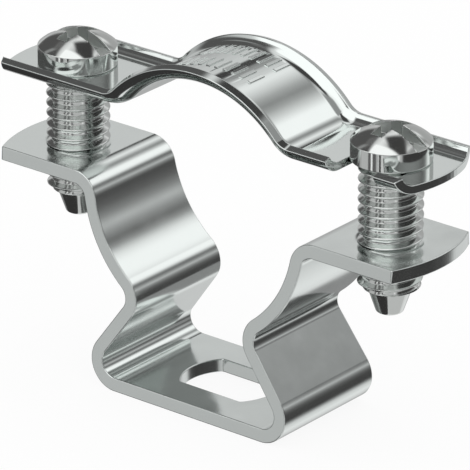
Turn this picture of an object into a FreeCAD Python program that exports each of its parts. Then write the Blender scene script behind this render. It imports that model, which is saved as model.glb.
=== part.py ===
import FreeCAD, Part
import math
import os

import Sketcher

# Conduit strap: a folded spacer bracket, a pressed strap over it and two clamping screws.
# Millimetres. X runs along the strap, Y along the conduit and Z up from the fixing face.
# The origin is the middle of the fixing slot, on the face that is fixed to the wall.

# Driving dimensions: name, value and what it measures.
DIMENSIONS = [
    ("conduit_radius", 11.65, "radius of the seat, half saddle and half strap arch"),
    ("seat_height", 20.75, "conduit centre and flange top above the fixing face"),
    ("bracket_sheet", 1.35, "sheet thickness of the bracket"),
    ("foot_half_length", 8.75, "flat of the fixing face, from the middle to the foot bend"),
    ("foot_bend", 1.45, "inside radius of the foot bend"),
    ("leg_angle", 126.0, "degrees that the foot bend turns the sheet"),
    ("neck_bend", 1.40, "inside radius of the neck bend"),
    ("shoulder_bend", 1.28, "inside radius of the bend between saddle and flange"),
    ("foot_width", 13.30, "bracket width at the fixing face"),
    ("flange_width", 11.50, "bracket width at the flanges"),
    ("flange_end", 4.55, "flange corner beyond the screw axis"),
    ("flange_end_arc", 13.5, "radius of the flange's rounded end"),
    ("slot_length", 9.50, "fixing slot over its round ends, which lie on one circle"),
    ("slot_width", 6.30, "fixing slot between its two flats"),
    ("screw_offset", 18.40, "screw axis from the middle"),
    ("thread_diameter", 6.00, "outside diameter of the screw thread"),
    ("thread_clearance", 0.05, "radial play of the thread in the flange"),
    ("flange_chamfer", 0.30, "chamfer round the mouth of the threaded hole"),
    ("strap_sheet", 0.82, "sheet thickness of the strap"),
    ("strap_rise", 6.97, "underside of the strap's ends above the conduit centre"),
    ("strap_foot_bend", 2.68, "inside radius where the arch meets the strap's ends"),
    ("strap_width", 11.26, "strap width over its rims"),
    ("rim_bend", 1.30, "inside radius of the turned-up rim"),
    ("rim_angle", 71.0, "degrees that the rim is turned up"),
    ("strap_end", 4.60, "strap corner beyond the screw axis"),
    ("strap_end_arc", 12.0, "radius of the strap's rounded end"),
    ("strap_clearance", 0.15, "radial play of the thread in the strap"),
    ("hook_mouth", 5.30, "width of the hook slot at its lip"),
    ("hook_lip", 1.20, "depth of the lip at the mouth of the hook slot"),
    ("thread_length", 12.70, "length under the head as far as the point"),
    ("thread_runout", 0.60, "height of the taper where the thread runs out"),
    ("point_length", 2.20, "length of the tapered point"),
    ("point_root", 4.00, "diameter of the point where the thread ends"),
    ("point_end", 2.65, "diameter of the point at its end"),
    ("point_round", 0.30, "radius round the end of the point"),
    ("head_diameter", 7.50, "head diameter"),
    ("head_rim", 1.84, "height of the head's upright side"),
    ("head_dome", 1.45, "height of the domed top above the side"),
    ("head_edge", 0.10, "chamfer round the head's lower edge, which clears the strap's rims"),
    ("drive_slot", 1.38, "width of the driving slot"),
    ("cross_wing", 1.26, "width of the cross recess's wings"),
    ("cross_span", 4.20, "cross recess from wing tip to wing tip"),
    ("cross_depth", 2.00, "depth of the cross recess from the top of the dome"),
    ("drive_angle", -4.0, "degrees from the strap's length to the driving slot"),
]

# Point codes of a sketch's geometry: its start, its end and an arc's centre.
START, END, CENTRE = range(1, 4)
HORIZONTAL_AXIS, VERTICAL_AXIS = range(-1, -3, -1)
ORIGIN = (HORIZONTAL_AXIS, START)
# How far a cutting outline reaches past the material that it trims.
MARGIN = 4.0
# Lengths closer than this are the same.
SAME = 1e-6

doc = FreeCAD.newDocument("conduit_strap")
sheet = doc.addObject("Spreadsheet::Sheet", "sizes")


def fill_sheet():
    for row, (name, value, note) in enumerate(DIMENSIONS, start=1):
        sheet.set("A%d" % row, name)
        sheet.set("B%d" % row, repr(value))
        sheet.setAlias("B%d" % row, name)
        sheet.set("C%d" % row, note)
    doc.recompute()


def measure(expression):
    """An expression of the sheet's sizes, as a number."""
    return float(sheet.evalExpression(expression))


def point(x, y):
    return FreeCAD.Vector(x, y, 0)


def heading(angle):
    return point(math.cos(angle), math.sin(angle))


class Drawing:
    """A sketch on one of its body's own planes, with dimensions that follow the sheet."""

    def __init__(self, body, name, plane):
        self.sketch = body.newObject("Sketcher::SketchObject", name)
        planes = [feature for feature in body.Origin.OriginFeatures if feature.Role == plane]
        self.sketch.AttachmentSupport = [(planes[0], "")]
        self.sketch.MapMode = "FlatFace"

    def line(self, start, end):
        return self.sketch.addGeometry(Part.LineSegment(start, end))

    def arc(self, centre, radius, first, last):
        """An arc drawn counter-clockwise from its first angle to its last."""
        circle = Part.Circle(centre, FreeCAD.Vector(0, 0, 1), radius)
        return self.sketch.addGeometry(Part.ArcOfCircle(circle, first, last))

    def rule(self, kind, *arguments):
        return self.sketch.addConstraint(Sketcher.Constraint(kind, *arguments))

    def loop(self, parts):
        """Join parts that are drawn one after the other round a closed outline."""
        for part, following in zip(parts, parts[1:] + parts[:1]):
            self.rule("Coincident", part, END, following, START)

    def size(self, name, kind, *arguments):
        """A dimension, whose last argument is the expression that it follows."""
        geometry = arguments[:-1]
        expression = arguments[-1]
        value = measure(expression)
        if kind == "Angle":
            value = math.radians(value)
        index = self.rule(kind, *geometry, value)
        self.sketch.renameConstraint(index, name)
        self.sketch.setExpression("Constraints." + name, expression)

    def circle(self, name, centre_x, radius, side):
        """A circle on the horizontal axis, on side 1 or -1 of the origin."""
        place = point(side * measure(centre_x), 0)
        circle = Part.Circle(place, FreeCAD.Vector(0, 0, 1), measure(radius))
        index = self.sketch.addGeometry(circle)
        self.rule("PointOnObject", index, CENTRE, HORIZONTAL_AXIS)
        ends = [ORIGIN, (index, CENTRE)][::side]
        self.size(name + "_place", "DistanceX", *ends[0], *ends[1], centre_x)
        self.size(name + "_radius", "Radius", index, radius)

    def rectangle(self, name, half_width, half_height):
        """A rectangle about the origin."""
        right, top = measure(half_width), measure(half_height)
        corners = [point(-right, -top), point(right, -top), point(right, top), point(-right, top)]
        sides = [self.line(start, end) for start, end in zip(corners, corners[1:] + corners[:1])]
        self.loop(sides)
        for side in sides[0::2]:
            self.rule("Horizontal", side)
        for side in sides[1::2]:
            self.rule("Vertical", side)
        self.rule("Symmetric", sides[0], START, sides[2], START, *ORIGIN)
        self.size(name + "_width", "DistanceX", sides[0], START, sides[0], END,
                  "2 * (%s)" % half_width)
        self.size(name + "_height", "DistanceY", sides[1], START, sides[1], END,
                  "2 * (%s)" % half_height)


def new_body(label):
    body = doc.addObject("PartDesign::Body", label)
    body.Label = label
    return body


def cut(body, drawing, name, depth=None):
    """Cut a sketch's area out of the body: to a depth, or right through both ways."""
    before = body.Shape.Volume
    pocket = body.newObject("PartDesign::Pocket", name)
    pocket.Profile = drawing.sketch
    if depth is None:
        pocket.Type = "ThroughAll"
        pocket.Midplane = True
    else:
        pocket.setExpression("Length", depth)
    doc.recompute()
    if pocket.Shape.isNull() or pocket.Shape.Volume >= before:
        raise RuntimeError(name + " cut nothing")
    return pocket


def round_circle(body, kind, name, radius, height, amount):
    """Fillet or chamfer the circular edges of a radius at a height."""
    base = body.Tip
    edges = []
    for index, edge in enumerate(base.Shape.Edges, start=1):
        if edge.Degenerated or not isinstance(edge.Curve, Part.Circle):
            continue
        if abs(edge.Curve.Radius - radius) < SAME and abs(edge.Curve.Center.z - height) < SAME:
            edges.append("Edge%d" % index)
    if not edges:
        raise RuntimeError(name + " found no edge")
    feature = body.newObject(kind, name)
    feature.Base = (base, edges)
    feature.setExpression("Radius" if kind.endswith("Fillet") else "Size", amount)
    doc.recompute()


def round_ends(body, name, reach, half_width, side, end_arc):
    """Trim both ends of a strip to arcs. Each arc passes through the strip's corner, at its
    reach and half width, and the outline's straight sides clear the material."""
    drawing = Drawing(body, name + "_outline", "XY_Plane")
    drawing.rectangle("stock", "%s + %s + %s" % (reach, side, MARGIN), "%s + %s" % (side, MARGIN))

    centre_x = "%s - sqrt((%s) ^ 2 - (%s) ^ 2)" % (reach, end_arc, half_width)
    middle = measure(centre_x)
    radius = measure(end_arc)
    across = measure(side)
    spread = math.asin(across / radius)
    corner = middle + radius * math.cos(spread)
    near = drawing.line(point(-corner, -across), point(corner, -across))
    right = drawing.arc(point(middle, 0), radius, -spread, spread)
    back = drawing.line(point(corner, across), point(-corner, across))
    left = drawing.arc(point(-middle, 0), radius, math.pi - spread, math.pi + spread)
    drawing.loop([near, right, back, left])
    drawing.rule("Horizontal", near)
    drawing.rule("Horizontal", back)
    drawing.rule("PointOnObject", right, CENTRE, HORIZONTAL_AXIS)
    drawing.rule("PointOnObject", left, CENTRE, HORIZONTAL_AXIS)
    drawing.size("near_side", "DistanceY", near, START, *ORIGIN, side)
    drawing.size("back_side", "DistanceY", *ORIGIN, back, START, side)
    drawing.size("right_end", "Radius", right, end_arc)
    drawing.size("left_end", "Radius", left, end_arc)
    drawing.size("right_middle", "DistanceX", *ORIGIN, right, CENTRE, centre_x)
    drawing.size("left_middle", "DistanceX", left, CENTRE, *ORIGIN, centre_x)
    cut(body, drawing, name + "_ends")


# The bracket: one folded strip that stands off the wall, with the conduit in its saddle.

def draw_bracket_profile(body):
    """Half of the folded strip, seen along the conduit: fixing face, foot bend, leg, neck
    bend, saddle, shoulder bend and flange. Each face of the sheet is a chain of tangent
    lines and arcs, and the arcs of the two faces share their centres."""
    gauge = measure("sizes.bracket_sheet")
    seat = point(0, measure("sizes.seat_height"))
    seat_radius = measure("sizes.conduit_radius")
    foot_radius = measure("sizes.foot_bend")
    turn = math.radians(measure("sizes.leg_angle"))
    foot = point(measure("sizes.foot_half_length"), gauge + foot_radius)
    leg = heading(turn)
    outward = heading(turn - math.pi / 2)

    # The neck bend touches the leg and the saddle's circle, so its centre follows from both.
    neck_radius = measure("sizes.neck_bend") + gauge
    track = foot + outward * (foot_radius + neck_radius) - seat
    along = track.dot(leg)
    excess = track.dot(track) - (seat_radius + neck_radius) ** 2
    leg_length = -along - math.sqrt(along ** 2 - excess)
    neck = track + leg * leg_length
    neck_angle = math.atan2(neck.y, neck.x)

    # The shoulder bend touches the saddle's circle and the flange's top.
    shoulder_radius = measure("sizes.shoulder_bend") + gauge
    run = math.sqrt((seat_radius + shoulder_radius) ** 2 - shoulder_radius ** 2)
    shoulder_angle = math.atan2(-shoulder_radius, run)

    end_x = measure("sizes.screw_offset + sizes.flange_end + sizes.flange_width / 2")
    drawing = Drawing(body, "bracket_profile", "XZ_Plane")

    def chain(depth):
        """One face of the sheet, a depth below the face that looks at the conduit."""
        leg_near = foot + outward * (foot_radius + depth)
        parts = [
            drawing.line(point(0, gauge - depth), point(foot.x, gauge - depth)),
            drawing.arc(foot, foot_radius + depth, -math.pi / 2, turn - math.pi / 2),
            drawing.line(leg_near, leg_near + leg * leg_length),
            drawing.arc(seat + neck, neck_radius - depth, math.pi + neck_angle, turn + math.pi / 2),
            drawing.arc(seat, seat_radius + depth, neck_angle, shoulder_angle),
            drawing.arc(seat + point(run, -shoulder_radius), shoulder_radius - depth,
                        math.pi / 2, math.pi + shoulder_angle),
            drawing.line(seat + point(run, -depth), seat + point(end_x - seat.x, -depth)),
        ]
        ends = [(END, START), (END, START), (END, END), (START, START), (END, END), (START, START)]
        for part, following, (leaving, arriving) in zip(parts, parts[1:], ends):
            drawing.rule("Tangent", part, leaving, following, arriving)
        drawing.rule("Horizontal", parts[0])
        drawing.rule("Horizontal", parts[-1])
        return parts

    inner = chain(0.0)
    outer = chain(gauge)
    middle = drawing.line(point(0, 0), point(0, gauge))
    drawing.rule("Coincident", middle, START, *ORIGIN)
    drawing.rule("Coincident", middle, START, outer[0], START)
    drawing.rule("Coincident", middle, END, inner[0], START)
    drawing.rule("Vertical", middle)
    end = drawing.line(point(end_x, seat.y - gauge), point(end_x, seat.y))
    drawing.rule("Coincident", end, START, outer[-1], END)
    drawing.rule("Coincident", end, END, inner[-1], END)
    drawing.rule("Vertical", end)
    for index in (1, 3, 4, 5):
        drawing.rule("Coincident", inner[index], CENTRE, outer[index], CENTRE)
    drawing.rule("Parallel", inner[2], outer[2])
    drawing.rule("PointOnObject", inner[4], CENTRE, VERTICAL_AXIS)

    drawing.size("gauge", "DistanceY", middle, START, middle, END, "sizes.bracket_sheet")
    drawing.size("foot", "DistanceX", inner[0], START, inner[0], END, "sizes.foot_half_length")
    drawing.size("foot_bend", "Radius", inner[1], "sizes.foot_bend")
    drawing.size("leg_angle", "Angle", inner[0], START, inner[2], START, "sizes.leg_angle")
    drawing.size("neck_bend", "Radius", outer[3], "sizes.neck_bend")
    drawing.size("seat_radius", "Radius", inner[4], "sizes.conduit_radius")
    drawing.size("seat_height", "DistanceY", *ORIGIN, inner[4], CENTRE, "sizes.seat_height")
    drawing.size("shoulder_bend", "Radius", outer[5], "sizes.shoulder_bend")
    drawing.size("flange_top", "DistanceY", *ORIGIN, inner[6], END, "sizes.seat_height")
    drawing.size("flange_run", "DistanceX", *ORIGIN, inner[6], END,
                 "sizes.screw_offset + sizes.flange_end + sizes.flange_width / 2")
    return drawing


def taper_bracket(body):
    """Trim the sides: the strip narrows evenly from the fixing face up to the flanges."""
    drawing = Drawing(body, "bracket_sides", "YZ_Plane")
    drawing.rectangle("stock", "sizes.foot_width / 2 + sizes.flange_width / 2 + %s" % MARGIN,
                      "sizes.seat_height + 2 * %s" % MARGIN)

    # The sloping sides run on below the fixing face and above the flanges.
    low_width = "sizes.foot_width + (sizes.foot_width - sizes.flange_width) * %s" % MARGIN
    low_width += " / sizes.seat_height"
    high_width = "sizes.flange_width - (sizes.foot_width - sizes.flange_width) * %s" % MARGIN
    high_width += " / sizes.seat_height"
    low, high = measure(low_width) / 2, measure(high_width) / 2
    top = measure("sizes.seat_height") + MARGIN
    corners = [point(-low, -MARGIN), point(low, -MARGIN), point(high, top), point(-high, top)]
    sides = [drawing.line(start, end) for start, end in zip(corners, corners[1:] + corners[:1])]
    drawing.loop(sides)
    for side in sides[0::2]:
        drawing.rule("Symmetric", side, START, side, END, VERTICAL_AXIS)
    drawing.size("low_width", "DistanceX", sides[0], START, sides[0], END, low_width)
    drawing.size("high_width", "DistanceX", sides[2], END, sides[2], START, high_width)
    drawing.size("below", "DistanceY", sides[0], START, *ORIGIN, str(MARGIN))
    drawing.size("above", "DistanceY", *ORIGIN, sides[2], START, "sizes.seat_height + %s" % MARGIN)
    cut(body, drawing, "bracket_taper")


def cut_fixing_slot(body):
    """The double-D slot in the fixing face: a circle cut off by a flat on either side."""
    drawing = Drawing(body, "slot_outline", "XY_Plane")
    radius = measure("sizes.slot_length / 2")
    half = measure("sizes.slot_width / 2")
    reach = math.sqrt(radius ** 2 - half ** 2)
    spread = math.asin(half / radius)
    near = drawing.line(point(-reach, -half), point(reach, -half))
    right = drawing.arc(point(0, 0), radius, -spread, spread)
    back = drawing.line(point(reach, half), point(-reach, half))
    left = drawing.arc(point(0, 0), radius, math.pi - spread, math.pi + spread)
    drawing.loop([near, right, back, left])
    drawing.rule("Horizontal", near)
    drawing.rule("Horizontal", back)
    drawing.rule("Coincident", right, CENTRE, *ORIGIN)
    drawing.rule("Coincident", left, CENTRE, *ORIGIN)
    drawing.size("right_end", "Radius", right, "sizes.slot_length / 2")
    drawing.size("left_end", "Radius", left, "sizes.slot_length / 2")
    drawing.size("near_flat", "DistanceY", near, START, *ORIGIN, "sizes.slot_width / 2")
    drawing.size("back_flat", "DistanceY", *ORIGIN, back, START, "sizes.slot_width / 2")
    cut(body, drawing, "fixing_slot")


def make_bracket():
    body = new_body("base_bracket")
    profile = draw_bracket_profile(body)
    strip = body.newObject("PartDesign::Pad", "half_strip")
    strip.Profile = profile.sketch
    strip.Midplane = True
    strip.setExpression("Length", "sizes.foot_width + 2 * %s" % MARGIN)
    doc.recompute()
    mirrored = body.newObject("PartDesign::Mirrored", "whole_strip")
    mirrored.Originals = [strip]
    mirrored.MirrorPlane = (profile.sketch, ["V_Axis"])
    body.Tip = mirrored
    doc.recompute()

    taper_bracket(body)
    round_ends(body, "flange", "sizes.screw_offset + sizes.flange_end", "sizes.flange_width / 2",
               "(sizes.foot_width + sizes.flange_width) / 4 + 1", "sizes.flange_end_arc")
    cut_fixing_slot(body)

    bore = "sizes.thread_diameter / 2 + sizes.thread_clearance"
    drawing = Drawing(body, "thread_circles", "XY_Plane")
    drawing.circle("right", "sizes.screw_offset", bore, 1)
    drawing.circle("left", "sizes.screw_offset", bore, -1)
    cut(body, drawing, "threaded_holes")
    round_circle(body, "PartDesign::Chamfer", "hole_mouths", measure(bore),
                 measure("sizes.seat_height"), "sizes.flange_chamfer")
    return body


# The strap: one pressed strip with turned-up rims, arched over the conduit.

def draw_strap_path(body):
    """The underside of the strap, seen along the conduit: end, foot bend, arch, foot bend
    and end, all tangent."""
    seat = point(0, measure("sizes.seat_height"))
    radius = measure("sizes.conduit_radius")
    bend = measure("sizes.strap_foot_bend + sizes.strap_sheet")
    rise = measure("sizes.strap_rise")
    run = math.sqrt((radius + bend) ** 2 - (rise + bend) ** 2)
    slope = math.atan2(rise + bend, run)
    end_x = measure("sizes.screw_offset + sizes.strap_end + sizes.strap_width / 2")
    drawing = Drawing(body, "strap_path", "XZ_Plane")
    left_end = drawing.line(seat + point(-end_x, rise), seat + point(-run, rise))
    left_foot = drawing.arc(seat + point(-run, rise + bend), bend, -math.pi / 2, -slope)
    arch = drawing.arc(seat, radius, slope, math.pi - slope)
    right_foot = drawing.arc(seat + point(run, rise + bend), bend, math.pi + slope, 1.5 * math.pi)
    right_end = drawing.line(seat + point(run, rise), seat + point(end_x, rise))
    drawing.rule("Tangent", left_end, END, left_foot, START)
    drawing.rule("Tangent", left_foot, END, arch, END)
    drawing.rule("Tangent", arch, START, right_foot, START)
    drawing.rule("Tangent", right_foot, END, right_end, START)
    drawing.rule("Horizontal", left_end)
    drawing.rule("Horizontal", right_end)
    drawing.rule("PointOnObject", arch, CENTRE, VERTICAL_AXIS)
    drawing.size("seat_height", "DistanceY", *ORIGIN, arch, CENTRE, "sizes.seat_height")
    drawing.size("arch_radius", "Radius", arch, "sizes.conduit_radius")
    drawing.size("left_bend", "Radius", left_foot, "sizes.strap_foot_bend + sizes.strap_sheet")
    drawing.size("right_bend", "Radius", right_foot, "sizes.strap_foot_bend + sizes.strap_sheet")
    drawing.size("left_level", "DistanceY", *ORIGIN, left_end, START,
                 "sizes.seat_height + sizes.strap_rise")
    drawing.size("right_level", "DistanceY", *ORIGIN, right_end, END,
                 "sizes.seat_height + sizes.strap_rise")
    drawing.size("left_run", "DistanceX", left_end, START, *ORIGIN,
                 "sizes.screw_offset + sizes.strap_end + sizes.strap_width / 2")
    drawing.size("right_run", "DistanceX", *ORIGIN, right_end, END,
                 "sizes.screw_offset + sizes.strap_end + sizes.strap_width / 2")
    return drawing


def draw_strap_section(body):
    """Across the strap, at its left end: a flat with a rim turned up along each edge."""
    gauge = measure("sizes.strap_sheet")
    inside = measure("sizes.rim_bend")
    outside = inside + gauge
    turn = math.radians(measure("sizes.rim_angle"))
    half = measure("sizes.strap_width / 2")
    bend_x = half - outside * math.sin(turn)
    drawing = Drawing(body, "strap_section", "YZ_Plane")
    right = point(bend_x, outside)
    left = point(-bend_x, outside)
    right_tip = heading(turn - math.pi / 2)
    left_tip = heading(1.5 * math.pi - turn)
    under = drawing.line(point(-bend_x, 0), point(bend_x, 0))
    right_outer = drawing.arc(right, outside, -math.pi / 2, turn - math.pi / 2)
    right_edge = drawing.line(right + right_tip * outside, right + right_tip * inside)
    right_inner = drawing.arc(right, inside, -math.pi / 2, turn - math.pi / 2)
    upper = drawing.line(point(bend_x, gauge), point(-bend_x, gauge))
    left_inner = drawing.arc(left, inside, 1.5 * math.pi - turn, 1.5 * math.pi)
    left_edge = drawing.line(left + left_tip * inside, left + left_tip * outside)
    left_outer = drawing.arc(left, outside, 1.5 * math.pi - turn, 1.5 * math.pi)

    drawing.rule("Tangent", under, END, right_outer, START)
    drawing.rule("Coincident", right_outer, END, right_edge, START)
    drawing.rule("Coincident", right_edge, END, right_inner, END)
    drawing.rule("Tangent", right_inner, START, upper, START)
    drawing.rule("Tangent", upper, END, left_inner, END)
    drawing.rule("Coincident", left_inner, START, left_edge, START)
    drawing.rule("Coincident", left_edge, END, left_outer, START)
    drawing.rule("Tangent", left_outer, END, under, START)
    drawing.rule("Horizontal", under)
    drawing.rule("Horizontal", upper)
    drawing.rule("Coincident", right_outer, CENTRE, right_inner, CENTRE)
    drawing.rule("Coincident", left_outer, CENTRE, left_inner, CENTRE)
    drawing.rule("PointOnObject", right_outer, CENTRE, right_edge)
    drawing.rule("PointOnObject", left_outer, CENTRE, left_edge)
    drawing.rule("Equal", left_inner, right_inner)
    drawing.rule("Symmetric", under, START, under, END, *ORIGIN)
    drawing.size("gauge", "DistanceY", under, END, upper, START, "sizes.strap_sheet")
    drawing.size("right_bend", "Radius", right_inner, "sizes.rim_bend")
    drawing.size("right_turn", "Angle", under, START, right_edge, START, "90 + sizes.rim_angle")
    drawing.size("left_turn", "Angle", under, START, left_edge, END, "90 - sizes.rim_angle")
    drawing.size("width", "DistanceX", left_edge, END, right_edge, START, "sizes.strap_width")
    return drawing


def cut_screw_openings(body):
    """The round hole at the left end, and the hook slot at the right end. The slot opens
    towards -Y, and a lip at its mouth keeps the strap from sliding off the screw."""
    bore = "sizes.thread_diameter / 2 + sizes.strap_clearance"
    drawing = Drawing(body, "screw_openings", "XY_Plane")
    drawing.circle("hole", "sizes.screw_offset", bore, -1)

    radius = measure(bore)
    offset = measure("sizes.screw_offset")
    edge = -measure("sizes.strap_width / 2")
    lip_y = edge + measure("sizes.hook_lip")
    lip_x = offset - radius + measure("sizes.hook_mouth")
    outside = edge - MARGIN
    eye = drawing.arc(point(offset, 0), radius, 0, math.pi)
    corners = [point(offset - radius, 0), point(offset - radius, outside), point(lip_x, outside),
               point(lip_x, lip_y), point(offset + radius, lip_y), point(offset + radius, 0)]
    walls = [drawing.line(start, end) for start, end in zip(corners, corners[1:])]
    left_wall, mouth, lip_end, lip_back, right_wall = walls
    drawing.loop([eye] + walls)
    for wall in (left_wall, lip_end, right_wall):
        drawing.rule("Vertical", wall)
    drawing.rule("Horizontal", mouth)
    drawing.rule("Horizontal", lip_back)
    drawing.rule("PointOnObject", eye, CENTRE, HORIZONTAL_AXIS)
    drawing.rule("PointOnObject", eye, START, HORIZONTAL_AXIS)
    drawing.rule("PointOnObject", eye, END, HORIZONTAL_AXIS)
    drawing.size("eye_place", "DistanceX", *ORIGIN, eye, CENTRE, "sizes.screw_offset")
    drawing.size("eye_radius", "Radius", eye, bore)
    drawing.size("mouth", "DistanceX", mouth, START, mouth, END, "sizes.hook_mouth")
    drawing.size("lip", "DistanceY", lip_end, END, *ORIGIN, "sizes.strap_width / 2 - sizes.hook_lip")
    drawing.size("opening", "DistanceY", mouth, START, *ORIGIN, "sizes.strap_width / 2 + %s" % MARGIN)
    cut(body, drawing, "screw_holes")


def make_strap():
    body = new_body("clamp_strap")
    path = draw_strap_path(body)
    section = draw_strap_section(body)
    section.sketch.setExpression("AttachmentOffset.Base.y", "sizes.seat_height + sizes.strap_rise")
    section.sketch.setExpression("AttachmentOffset.Base.z",
                                 "-(sizes.screw_offset + sizes.strap_end + sizes.strap_width / 2)")
    doc.recompute()
    strip = body.newObject("PartDesign::AdditivePipe", "rimmed_strip")
    strip.Profile = section.sketch
    strip.Spine = (path.sketch, ["Edge%d" % (index + 1) for index in range(5)])
    doc.recompute()
    round_ends(body, "strap", "sizes.screw_offset + sizes.strap_end", "sizes.strap_width / 2",
               "sizes.strap_width / 2 + 1", "sizes.strap_end_arc")
    cut_screw_openings(body)
    return body


# The screws: domed heads on the strap, threads in the flanges and tapered points.

def draw_screw_profile(body):
    """Half of the screw, from its point up to the dome, with the head's seat at the origin."""
    end = measure("sizes.point_end / 2")
    root = measure("sizes.point_root / 2")
    thread = measure("sizes.thread_diameter / 2")
    head = measure("sizes.head_diameter / 2")
    rim = measure("sizes.head_rim")
    dome = measure("sizes.head_dome")
    shank = measure("sizes.thread_length")
    taper = measure("sizes.thread_runout")
    tip = shank + measure("sizes.point_length")
    corners = [point(0, -tip), point(end, -tip), point(root, -shank), point(thread, taper - shank),
               point(thread, 0), point(head, 0), point(head, rim)]
    drawing = Drawing(body, "screw_profile", "XZ_Plane")
    lines = [drawing.line(start, finish) for start, finish in zip(corners, corners[1:])]
    tip_face, flank, runout, crest, seat, side = lines
    dome_radius = (head ** 2 + dome ** 2) / (2 * dome)
    middle = rim + dome - dome_radius
    crown = drawing.arc(point(0, middle), dome_radius, math.atan2(rim - middle, head), math.pi / 2)
    axis = drawing.line(point(0, rim + dome), point(0, -tip))
    drawing.loop(lines + [crown, axis])
    for flat in (tip_face, seat):
        drawing.rule("Horizontal", flat)
    for upright in (crest, side, axis):
        drawing.rule("Vertical", upright)
    drawing.rule("PointOnObject", axis, START, VERTICAL_AXIS)
    drawing.rule("PointOnObject", crown, CENTRE, VERTICAL_AXIS)
    drawing.rule("PointOnObject", seat, START, HORIZONTAL_AXIS)
    drawing.size("point_end", "DistanceX", *ORIGIN, tip_face, END, "sizes.point_end / 2")
    drawing.size("point_root", "DistanceX", *ORIGIN, flank, END, "sizes.point_root / 2")
    drawing.size("thread", "DistanceX", *ORIGIN, crest, START, "sizes.thread_diameter / 2")
    drawing.size("head", "DistanceX", *ORIGIN, side, START, "sizes.head_diameter / 2")
    drawing.size("tip", "DistanceY", tip_face, START, *ORIGIN,
                 "sizes.thread_length + sizes.point_length")
    drawing.size("shank", "DistanceY", flank, END, *ORIGIN, "sizes.thread_length")
    drawing.size("runout", "DistanceY", runout, START, runout, END, "sizes.thread_runout")
    drawing.size("rim", "DistanceY", *ORIGIN, side, END, "sizes.head_rim")
    drawing.size("dome", "DistanceY", side, END, crown, END, "sizes.head_dome")
    return drawing


def cut_from_top(body, name, half_width, half_height, depth):
    """Cut a rectangle down into the head from the level of the dome's top."""
    drawing = Drawing(body, name + "_outline", "XY_Plane")
    drawing.rectangle("cut", half_width, half_height)
    drawing.sketch.setExpression("AttachmentOffset.Base.z", "sizes.head_rim + sizes.head_dome")
    doc.recompute()
    cut(body, drawing, name, depth)


def make_screw(label, side):
    """The screw at the right end (side 1) or at the left end (side -1)."""
    body = new_body(label)
    profile = draw_screw_profile(body)
    turned = body.newObject("PartDesign::Revolution", label + "_turned")
    turned.Profile = profile.sketch
    turned.ReferenceAxis = (profile.sketch, ["V_Axis"])
    turned.Angle = 360
    doc.recompute()
    tip = -measure("sizes.thread_length + sizes.point_length")
    round_circle(body, "PartDesign::Fillet", label + "_point", measure("sizes.point_end / 2"),
                 tip, "sizes.point_round")
    round_circle(body, "PartDesign::Chamfer", label + "_head_edge", measure("sizes.head_diameter / 2"),
                 0, "sizes.head_edge")
    cut_from_top(body, label + "_slot", "sizes.head_diameter", "sizes.drive_slot / 2",
                 "sizes.head_dome")
    cut_from_top(body, label + "_wings_along", "sizes.cross_span / 2", "sizes.cross_wing / 2",
                 "sizes.cross_depth")
    cut_from_top(body, label + "_wings_across", "sizes.cross_wing / 2", "sizes.cross_span / 2",
                 "sizes.cross_depth")

    # The head seats on the strap's upper face.
    body.Placement = FreeCAD.Placement(FreeCAD.Vector(0, 0, 0),
                                       FreeCAD.Rotation(FreeCAD.Vector(0, 0, 1), 1.0))
    body.setExpression("Placement.Base.x", "%d * sizes.screw_offset" % side)
    body.setExpression("Placement.Base.z", "sizes.seat_height + sizes.strap_rise + sizes.strap_sheet")
    body.setExpression("Placement.Rotation.Angle", "sizes.drive_angle")
    doc.recompute()
    return body


def main():
    fill_sheet()
    bodies = [make_bracket(), make_strap(), make_screw("left_screw", -1), make_screw("right_screw", 1)]
    doc.recompute()
    for item in doc.Objects:
        if "Invalid" in item.State or "Error" in item.State:
            raise RuntimeError("%s failed: %s" % (item.Label, item.State))
    for body in bodies:
        if body.Shape.isNull() or not body.Shape.isValid():
            raise RuntimeError(body.Label + " has no valid shape")
    os.makedirs("parts", exist_ok=True)
    for body in bodies:
        body.Shape.exportStep("parts/%s.step" % body.Label)
        box = body.Shape.BoundBox
        print("%s: %d solid, %.1f mm3, X %.2f to %.2f, Y %.2f to %.2f, Z %.2f to %.2f" % (
            body.Label, len(body.Shape.Solids), body.Shape.Volume,
            box.XMin, box.XMax, box.YMin, box.YMax, box.ZMin, box.ZMax))


main()
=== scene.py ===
import math

import bmesh
import bpy
from mathutils import Matrix, Vector


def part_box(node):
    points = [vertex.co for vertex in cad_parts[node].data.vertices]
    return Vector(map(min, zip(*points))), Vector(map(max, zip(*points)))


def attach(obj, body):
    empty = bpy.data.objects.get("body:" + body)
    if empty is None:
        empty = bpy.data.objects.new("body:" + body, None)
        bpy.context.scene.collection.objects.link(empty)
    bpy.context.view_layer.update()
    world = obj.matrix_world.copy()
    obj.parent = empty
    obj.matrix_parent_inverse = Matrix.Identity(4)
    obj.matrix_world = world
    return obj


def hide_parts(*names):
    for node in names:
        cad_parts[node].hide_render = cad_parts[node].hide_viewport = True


bl_info = {
    "name": "Conduit Strap",
    "version": (1, 0, 0),
    "blender": (4, 5, 0),
    "location": "View3D > Sidebar > Conduit Strap",
    "description": "A stand-off conduit strap with its bracket, strap and clamping screws",
    "category": "Add Mesh",
}

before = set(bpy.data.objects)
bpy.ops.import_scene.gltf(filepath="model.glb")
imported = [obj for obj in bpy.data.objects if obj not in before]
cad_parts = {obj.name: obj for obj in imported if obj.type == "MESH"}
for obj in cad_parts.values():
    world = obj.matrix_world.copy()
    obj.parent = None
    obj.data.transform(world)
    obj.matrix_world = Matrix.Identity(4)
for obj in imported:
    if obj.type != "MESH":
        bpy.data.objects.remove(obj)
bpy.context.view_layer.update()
MM = 0.001
UP = Vector((0, 0, 1))
# Vertices closer than this are one. Cuts and sweeps leave some of them a little further apart.
MERGE = 1e-7
MERGE_AFTER_CUTS = 1e-6


# Sizes and colours

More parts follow.
